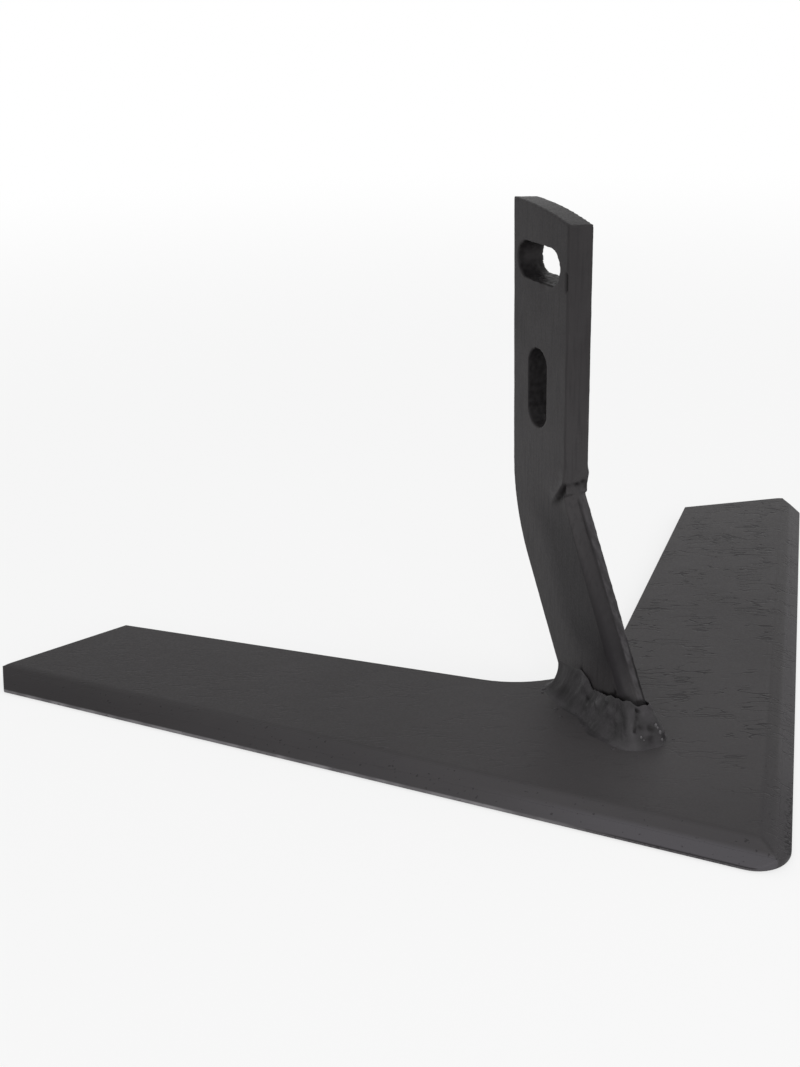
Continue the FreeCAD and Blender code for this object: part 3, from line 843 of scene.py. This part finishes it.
# %% [markdown]
# ### Satin black enamel on rolled plate
# The plate's mill scale was rolled into short wavy lines across the sheet, about half a millimetre
# wide and five to ten long. A contour line of a stretched noise is exactly such a line: where the
# noise passes through its middle value, a narrow ramp picks it out. A second, broader noise thins
# the lines out into patches. They show most on one wing, and the coat fills them on the other. To
# the eye this gives a dull dark sheet with fine black scratches that run one way.

# %% Paint of the plate
ROLLING = math.radians(-28)  # direction of the mill's rolling marks, from the X axis
SCALE = (14.0, 3.2, 6.0)  # lumps of the noise behind the lines: along, across and through, in mm

plate_paint, tree, place = paint("satin_black_on_plate")
x, y, z = add(tree, "SeparateXYZ", {0: place}).node.outputs
lines = grain(tree, place, 1.0, 1.2, ROLLING, SCALE)
lines = add(tree, "Math", {0: lines, 1: 0.5}, operation="SUBTRACT")
lines = add(tree, "Math", {0: lines}, operation="ABSOLUTE")
patches = grain(tree, place, 9, 1.5, ROLLING, (1.6, 1, 1))
thin_lines, wing = (lines, 0.004, 0.035, 1.0, 0.0), (x, -10, 50, 0.15, 1.0)
scale_lines = mask(tree, thin_lines, (patches, 0.47, 0.58), wing)
speck = grain(tree, place, 0.9)  # the coat's own orange peel, just large enough to show
cloud = grain(tree, place, 28, 3.0)
from_bar = add(tree, "VectorMath", {0: place, 1: (0, -30, 6)}, "Value", operation="DISTANCE")

# painted shade toward the left wing's tip
colour = layer(tree, "302e2f", "373536", (x, -190, -100))
# painted light on the right wing
colour = layer(tree, colour, "3b393a", (x, -10, 60))
colour = layer(tree, colour, "2c2a2b", (cloud, 0.3, 0.7, 0.0, 0.25))
# painted light on the plate round the bar, against the bar's shadow
colour = layer(tree, colour, "434142", (from_bar, 25, 110, 0.62, 0.0))
colour = layer(tree, colour, "1c1a1c", scale_lines, 0.7)
print("nodes for the plate:", len(tree.nodes))

# %% [markdown]
# The bevels were ground after the plate was cut, so the same enamel lies on a smoother face there.
# Its colour carries painted light: a little paler on the left; on the right the lower strip is
# painted paler and the upper one darker than the plate. The right bevel beside the nose, where the
# two bevels meet in a mitre, gets painted shade. The upright land under the bevels is the worn
# edge: its top is painted dark as shade and its lower part paler; far out on the left wing it is
# painted pale in patches, partly nearly bare steel and partly painted highlight. Small pits stay
# dark where the wheel did not reach.

# %% Paint of the ground edge
HALF_ANGLE = math.radians(40)  # leading edge to the line of travel
APEX_Y = -135.2  # where the two straight edges would meet, in front of the rounded nose

forward = add(tree, "Math", {0: y, 1: -APEX_Y}, operation="ADD")
forward = add(tree, "Math", {0: forward, 1: math.sin(HALF_ANGLE)}, operation="MULTIPLY")
aside = add(tree, "Math", {0: x}, operation="ABSOLUTE")
aside = add(tree, "Math", {0: aside, 1: math.cos(HALF_ANGLE)}, operation="MULTIPLY")
inward = add(tree, "Math", {0: forward, 1: aside}, operation="SUBTRACT")  # from the leading edge
left = mask(tree, (x, -0.8, 1.6, 1.0, 0.0))
wide = mask(tree, (inward, 9.0, 12.0, 1.0, 0.0), (x, -190, -40, 0.0, 0.45))
# painted light: the left bevel is paler
colour = layer(tree, colour, "4a484a", wide, left)
narrow = mask(tree, (inward, 4.2, 6.4, 1.0, 0.0), (x, -75, -25, 0.0, 0.65))
colour = layer(tree, colour, "545256", narrow, left)
# painted light: the right bevel's lower strip is paler
colour = layer(tree, colour, "403e40", (inward, 4.4, 6.0, 0.8, 0.0), spare=left)
# painted shade: the right bevel's upper strip is darker
upper_strip = mask(tree, (inward, 5.0, 6.5), (inward, 9.5, 11.0, 1.0, 0.0))
colour = layer(tree, colour, "353334", upper_strip, spare=left)
# painted shade on the right bevel beside the nose
colour = layer(tree, colour, "333133", (x, 45, 12), (inward, 12.0, 10.0), 0.7, spare=left)

outer = mask(tree, (x, -70, -30, 1.0, 0.0))  # the outer part of the left wing
# the land: painted shade at its top and near the nose; far out, worn steel and painted highlight
land = layer(tree, "2a282a", "545254", (z, 0.75, 1.1, 1.0, 0.0), (speck, 0.3, 0.6, 0.4, 1.0))
land = layer(tree, land, "5c5a5c", outer)
land = layer(tree, land, "7c7a7c", outer, (grain(tree, place, 9), 0.3, 0.7))
colour = layer(tree, colour, land, (z, 1.1, 1.5, 1.0, 0.0), (inward, 0.4, 1.0, 1.0, 0.0))

pits = mask(tree, (grain(tree, place, 1.5, 1.0), 0.69, 0.75), (inward, 10, 12, 0.5, 0.0))
rim = mask(tree, (inward, 1.5, 3.5, 0.9, 0.0), (x, 3, 8), (x, 38, 20), (speck, 0.45, 0.6))
pits = add(tree, "Math", {0: pits, 1: rim}, operation="MAXIMUM")
colour = layer(tree, colour, "1c1a1c", pits)
wave = grain(tree, place, 9, 1.0)
relief = [(scale_lines, -0.22), (speck, 0.03), (wave, 0.10)]
enamel(tree, colour, (speck, 0.3, 0.7, 0.40, 0.50), *relief)
blade.data.materials.append(plate_paint)
print(plate_paint.name, "nodes", len(tree.nodes))

# %% [markdown]
# ### Satin black enamel on flat bar
# Flat bar comes from the mill with fine lines along its length. They are finer than the render can
# show, so they are drawn three times as coarse, as faint streaks up and down the bar. The bar is
# painted lighter toward the bottom, as light. The front of the leaning part gets painted shade,
# most low down and none at the very foot. The facet beyond the seam is painted paler, in patches,
# as light. The darkness value paints shade into every fold, pit, seam, slot and the undercut, and
# colours the two burnt spots.

# %% Paint of the bar
bar_paint, tree, place = paint("satin_black_on_bar")
x, y, z = add(tree, "SeparateXYZ", {0: place}).node.outputs
drawn = grain(tree, place, 1.2, 2.0, 0.0, (1, 1, 14))
speck = grain(tree, place, 0.8)
middle_links = {0: z, 1: LEAN, 2: MID_Y - PLATE_TOP * LEAN}  # y of the leaning part's middle line
middle = add(tree, "Math", middle_links, operation="MULTIPLY_ADD")
forward = add(tree, "Math", {0: middle, 1: y}, operation="SUBTRACT")  # from that middle line
light_patches = grain(tree, place, 2.5, 3.0, 0.0, (1, 1, 3))
corner_value = add(tree, "Attribute", {}, "Fac", attribute_name="corner")
painted_light_and_burns_value = add(tree, "Attribute", {}, "Fac", attribute_name="painted_light_and_burns")

colour = layer(tree, "302e2f", "363435", (grain(tree, place, 18, 3.0), 0.3, 0.7))
# painted light: lighter toward the bottom
colour = layer(tree, colour, "3e3c3d", (z, 90, 160, 0.85, 0.0))
# painted shade on the front of the leaning part
front_shade = mask(tree, (forward, -12, 4), (z, 86, 66, 0.0, 0.63), (z, 46, 32, 1.0, 1.35), (z, 20, 34))
colour = layer(tree, colour, "222022", front_shade)
# painted shade low on the round corner, painted light higher up
colour = layer(tree, colour, layer(tree, "252325", "3e3c3d", (z, 30, 84)), corner_value)
# painted light in patches on the facet beyond the seam
lit_far_facet = mask(tree, (x, 0.6, 1.2), (z, 83, 87, 1.0, 0.0), (light_patches, 0.35, 0.65, 0.2, 1.0))
colour = layer(tree, colour, "434143", lit_far_facet, (forward, 23, 24.5))
colour = layer(tree, colour, "262426", (drawn, 0.45, 0.75, 0.0, 0.35))
# painted shade in folds, pits, seams, slots and the undercut; burnt colour on two spots
colour = layer(tree, colour, "131112", painted_light_and_burns_value)
enamel(tree, colour, (speck, 0.3, 0.7, 0.42, 0.52), (speck, 0.03), (drawn, 0.02))
bar.data.materials.append(bar_paint)
print(bar_paint.name, "nodes", len(tree.nodes))

# %% [markdown]
# ### Satin black enamel on weld metal
# On the weld the darkness value paints shade into pits, hollows and the crease, under the lip,
# toward the heel and halfway down the skirt. Where it is below 0, a pale grey is laid on as a
# painted highlight on small beads, and lighter paint low on the toe. That gives the eye a small
# cluster of pale beads with dark points between them.

# %% Paint of the weld
weld_paint, tree, place = paint("satin_black_on_weld")
speck = grain(tree, place, 0.7)
cloud = mask(tree, (grain(tree, place, 5, 3.0), 0.3, 0.7))
painted_light_and_burns_value = add(tree, "Attribute", {}, "Fac", attribute_name="painted_light_and_burns")
colour = layer(tree, "313031", "3e3c3e", cloud)
# painted shade
colour = layer(tree, colour, "161415", painted_light_and_burns_value)
# painted highlight
colour = layer(tree, colour, "5e5c5e", painted_light_and_burns_value, -1.0)
enamel(tree, colour, (cloud, 0.0, 1.0, 0.34, 0.48), (speck, 0.08))
weld.data.materials.append(weld_paint)
print(weld_paint.name, "nodes", len(tree.nodes))

# %% [markdown]
# ## Studio
# The part lies on a plain white table under soft light. For the camera and for reflections the
# room is white; the light that falls on the part is plainer, so that paint renders about as
# written. The table is partly self-lit for the same reason, which keeps a soft shadow under the
# blade.

# %% Room
ROOM_LIGHT = 0.74


def room_ray(tree):
    """1 where a ray from the camera, a reflection or a clear body looks at the room."""
    path = add(tree, "LightPath", {}).node.outputs
    seen = path["Is Camera Ray"]
    for other in (path["Is Glossy Ray"], path["Is Transmission Ray"]):
        seen = add(tree, "Math", {0: seen, 1: other}, operation="MAXIMUM")
    return seen


scene = bpy.context.scene
scene.view_settings.view_transform = "Standard"
world = bpy.data.worlds.new("white room")
scene.world = world
world.use_nodes = True
tree = world.node_tree
tree.nodes.clear()
lit = add(tree, "Background", {"Color": srgb("ffffff"), "Strength": ROOM_LIGHT})
white = add(tree, "Background", {"Color": srgb("ffffff"), "Strength": 1.0})
both = add(tree, "MixShader", {0: room_ray(tree), 1: lit, 2: white})
add(tree, "OutputWorld", {"Surface": both})
print("room light", ROOM_LIGHT)

# %% Table
HALF_TABLE, TABLE_Z = 20.0, -0.0003  # metres; the table lies a hair under the part

around = [(-1, -1), (1, -1), (1, 1), (-1, 1)]
corners = [(HALF_TABLE * a, HALF_TABLE * b, TABLE_Z) for a, b in around]
table_mesh = bpy.data.meshes.new("table")
table_mesh.from_pydata(corners, [], [(0, 1, 2, 3)])
table = bpy.data.objects.new("table", table_mesh)
scene.collection.objects.link(table)
table_paint = bpy.data.materials.new("white table")
table_paint.use_nodes = True
tree = table_paint.node_tree
tree.nodes.clear()
matt = add(tree, "BsdfDiffuse", {"Color": srgb("ececec")})
glow = add(tree, "Emission", {"Color": srgb("ffffff"), "Strength": 1.0})
place = add(tree, "TexCoord", {}, "Object")
away = add(tree, "VectorMath", {0: place}, "Value", operation="LENGTH")
share = mask(tree, room_ray(tree), (away, 0.3, 1.6, 0.7, 1.0))
both = add(tree, "MixShader", {0: share, 1: matt, 2: glow})
add(tree, "OutputMaterial", {"Surface": both})
table.data.materials.append(table_paint)
print("table", 2 * HALF_TABLE, "m square")

# %% [markdown]
# Two soft boxes do the modelling. The main one is large and hangs high over the blade, a little to
# the right, so the right wing and its bevel are lighter than the left one. The other is small and
# stands low in front, on the left, for the bar's side face and the bevels.

# %% Soft boxes
def soft_box(name, where, aim, size, power):
    """A square lamp at a place, turned to what it lights; metres and watts."""
    light = bpy.data.lights.new(name, "AREA")
    light.shape = "SQUARE"
    light.size = size
    light.energy = power
    lamp = bpy.data.objects.new(name, light)
    lamp.location = where
    lamp.rotation_euler = (Vector(aim) - Vector(where)).to_track_quat("-Z", "Y").to_euler()
    scene.collection.objects.link(lamp)


soft_box("main soft box", (0.30, -0.10, 1.30), (0, 0, 0.05), 1.6, 3.0)
soft_box("front soft box", (-0.25, -1.15, 0.35), (0, 0, 0.05), 0.7, 4.0)

# %% [markdown]
# ## Camera
# The camera stands low in front of the left wing tip and looks back along the blade. Its place was
# worked out from the edges of the part, so the frame matches a picture 800 pixels wide and 1067
# high.

# %% Camera
WIDE, HIGH = 800, 1067
FOCAL, CENTRE_X, CENTRE_Y = 1319.19, 468.274, 532.675  # in pixels of that frame
SENSOR = 36.0
STAND = (-0.2369728, -0.3927679, 0.2597092)  # where the camera stands, in metres
right = Vector((0.8948584, -0.4461831, -0.0122122))
upward = Vector((0.1825626, 0.3409040, 0.9222014))
ahead = Vector((0.4073075, 0.8274691, -0.3865171))
lens = bpy.data.cameras.new("camera")
lens.sensor_fit = "VERTICAL"
lens.sensor_height = SENSOR
lens.lens = SENSOR * FOCAL / HIGH
lens.shift_x = (WIDE / 2 - CENTRE_X) / HIGH
lens.shift_y = (CENTRE_Y - HIGH / 2) / HIGH
lens.clip_start = 0.01
camera = bpy.data.objects.new("camera", lens)
turned = Matrix((right, upward, -ahead)).transposed().to_4x4()
camera.matrix_world = Matrix.Translation(STAND) @ turned
scene.collection.objects.link(camera)
scene.camera = camera
print("lens", round(lens.lens, 2), "mm, shift", round(lens.shift_x, 4), round(lens.shift_y, 4))

# %% Update the scene
bpy.context.view_layer.update()
